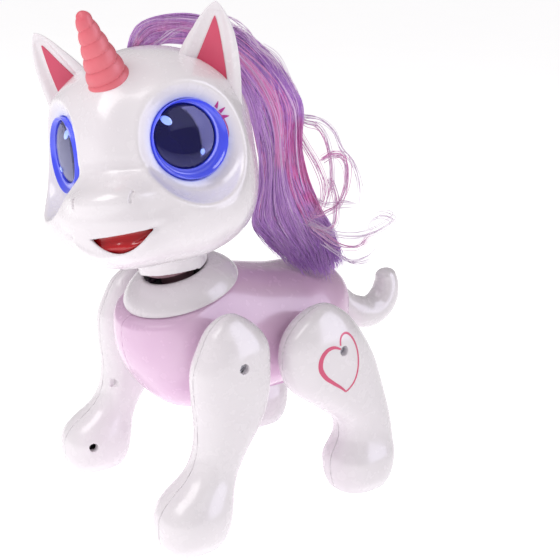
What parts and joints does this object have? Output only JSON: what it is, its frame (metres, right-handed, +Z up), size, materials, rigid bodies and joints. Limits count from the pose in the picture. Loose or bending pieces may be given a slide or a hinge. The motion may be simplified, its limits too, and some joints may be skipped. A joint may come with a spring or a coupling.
{
  "type": "robot unicorn toy",
  "caption": "Standing robot toy animal with a spiral horn, round lit eyes, pointed ears, a hair mane, turning neck, wagging curled tail and swinging legs on wheels.",
  "frame": {"origin": "on the ground in the body's symmetry plane, between the hips, at the height of the wheels' lowest points", "axes": "+Z up, -Y the way the body faces, +X its own left"},
  "size_m": [0.1486, 0.2376, 0.2777],
  "materials": {
    "white_gloss": "glossy moulded plastic, white with a faint cool pink cast",
    "pink_gloss": "glossy moulded plastic, pale pink",
    "coral_horn": "soft satin coral",
    "ear_pink": "satin raspberry pink",
    "eye_ring_blue": "clear blue plastic lit from behind",
    "pupil_indigo": "dark glossy indigo",
    "clear_lens": "clear glossy plastic",
    "circuit_board": "solder resist green",
    "mouth_red": "glossy red",
    "hair": "wavy synthetic hair, pink to lilac",
    "grey_nylon": "satin moulded nylon",
    "steel": "plated steel",
    "battery_wrap": "shrink wrap",
    "dark_plastic": "satin black",
    "sole_grey": "satin grey",
    "tyre_rubber": "matt rubber"
  },
  "bodies": {
    "torso": {"body_left_shell": "pink_gloss", "body_right_shell": "pink_gloss", "neck_collar": "white_gloss", "neck_bearing": "grey_nylon", "neck_motor": "steel", "main_board": "circuit_board", "battery_pack": "battery_wrap", "battery_door": "pink_gloss", "body_screws": "steel", "speaker": "dark_plastic", "charge_socket": "dark_plastic", "hip_axles": "steel"},
    "head": {"face_shell": "white_gloss", "head_back_shell": "white_gloss", "horn": "coral_horn", "ear_left": "white_gloss", "ear_right": "white_gloss", "ear_inserts": "ear_pink", "eye_ring_left": "eye_ring_blue", "eye_ring_right": "eye_ring_blue", "pupil_left": "pupil_indigo", "pupil_right": "pupil_indigo", "eye_lens_left": "clear_lens", "eye_lens_right": "clear_lens", "eye_led_boards": "circuit_board", "mouth_insert": "mouth_red", "mane": "hair", "hair_plug": "pink_gloss", "neck_post": "grey_nylon", "neck_gear": "grey_nylon"},
    "neck_drive": {"neck_pinion": "steel"},
    "power_switch": {"power_switch_knob": "dark_plastic"},
    "tail": {"tail": "white_gloss"},
    "front_left_leg": {"front_left_leg_outer": "white_gloss", "front_left_leg_inner": "white_gloss", "front_left_sole": "sole_grey", "front_left_screws": "steel"},
    "front_left_wheel": {"front_left_wheel": "dark_plastic"},
    "rear_left_leg": {"rear_left_leg_outer": "white_gloss", "rear_left_leg_inner": "white_gloss", "rear_left_sole": "sole_grey", "rear_left_motor": "steel", "rear_left_screws": "steel"},
    "rear_left_wheel": {"rear_left_wheel": "grey_nylon", "rear_left_tyre": "tyre_rubber"},
    "rear_left_drive": {"rear_left_pinion": "grey_nylon"},
    "front_right_leg": {"front_right_leg_outer": "white_gloss", "front_right_leg_inner": "white_gloss", "front_right_sole": "sole_grey", "front_right_screws": "steel"},
    "front_right_wheel": {"front_right_wheel": "dark_plastic"},
    "rear_right_leg": {"rear_right_leg_outer": "white_gloss", "rear_right_leg_inner": "white_gloss", "rear_right_sole": "sole_grey", "rear_right_motor": "steel", "rear_right_screws": "steel"},
    "rear_right_wheel": {"rear_right_wheel": "grey_nylon", "rear_right_tyre": "tyre_rubber"},
    "rear_right_drive": {"rear_right_pinion": "grey_nylon"}
  },
  "joints": [
    {"name": "neck_yaw", "type": "hinge", "parent": "torso", "child": "head", "pos_m": [0, -0.0395, 0.1435], "axis": [0, -0.309, 0.9511], "range_deg": [-76, 4]},
    {"name": "neck_pinion_spin", "type": "hinge", "parent": "torso", "child": "neck_drive", "pos_m": [0, -0.01075, 0.11236], "axis": [0, -0.309, 0.9511], "range_deg": [-15, 210]},
    {"name": "switch_slide", "type": "slide", "parent": "torso", "child": "power_switch", "axis": [0, 1, 0], "range_m": [0, 0.004]},
    {"name": "tail_wag", "type": "hinge", "parent": "torso", "child": "tail", "pos_m": [0, 0.07, 0.104], "axis": [0, 0, 1], "range_deg": [-10, 10]},
    {"name": "front_left_hip", "type": "hinge", "parent": "torso", "child": "front_left_leg", "pos_m": [0.045, -0.035, 0.098], "axis": [1, 0, 0], "range_deg": [-30, 15]},
    {"name": "front_left_wheel_spin", "type": "hinge", "parent": "front_left_leg", "child": "front_left_wheel", "pos_m": [0.056, -0.061, 0.0095], "axis": [1, 0, 0], "continuous": true},
    {"name": "rear_left_hip", "type": "hinge", "parent": "torso", "child": "rear_left_leg", "pos_m": [0.045, 0.031, 0.094], "axis": [1, 0, 0], "range_deg": [-25, 20]},
    {"name": "rear_left_wheel_spin", "type": "hinge", "parent": "rear_left_leg", "child": "rear_left_wheel", "pos_m": [0.053, 0.055, 0.0095], "axis": [1, 0, 0], "continuous": true},
    {"name": "rear_left_pinion_spin", "type": "hinge", "parent": "rear_left_leg", "child": "rear_left_drive", "pos_m": [0.053, 0.055, 0.0204], "axis": [1, 0, 0], "continuous": true},
    {"name": "front_right_hip", "type": "hinge", "parent": "torso", "child": "front_right_leg", "pos_m": [-0.045, -0.035, 0.098], "axis": [1, 0, 0], "range_deg": [-30, 15]},
    {"name": "front_right_wheel_spin", "type": "hinge", "parent": "front_right_leg", "child": "front_right_wheel", "pos_m": [-0.056, -0.061, 0.0095], "axis": [1, 0, 0], "continuous": true},
    {"name": "rear_right_hip", "type": "hinge", "parent": "torso", "child": "rear_right_leg", "pos_m": [-0.045, 0.031, 0.094], "axis": [1, 0, 0], "range_deg": [-25, 20]},
    {"name": "rear_right_wheel_spin", "type": "hinge", "parent": "rear_right_leg", "child": "rear_right_wheel", "pos_m": [-0.053, 0.055, 0.0095], "axis": [1, 0, 0], "continuous": true},
    {"name": "rear_right_pinion_spin", "type": "hinge", "parent": "rear_right_leg", "child": "rear_right_drive", "pos_m": [-0.053, 0.055, 0.0204], "axis": [1, 0, 0], "continuous": true}
  ],
  "couplings": [
    {"joint": "neck_pinion_spin", "follows": "neck_yaw", "ratio": -2.6667},
    {"joint": "rear_left_pinion_spin", "follows": "rear_left_wheel_spin", "ratio": -2},
    {"joint": "rear_right_pinion_spin", "follows": "rear_right_wheel_spin", "ratio": -2}
  ]
}
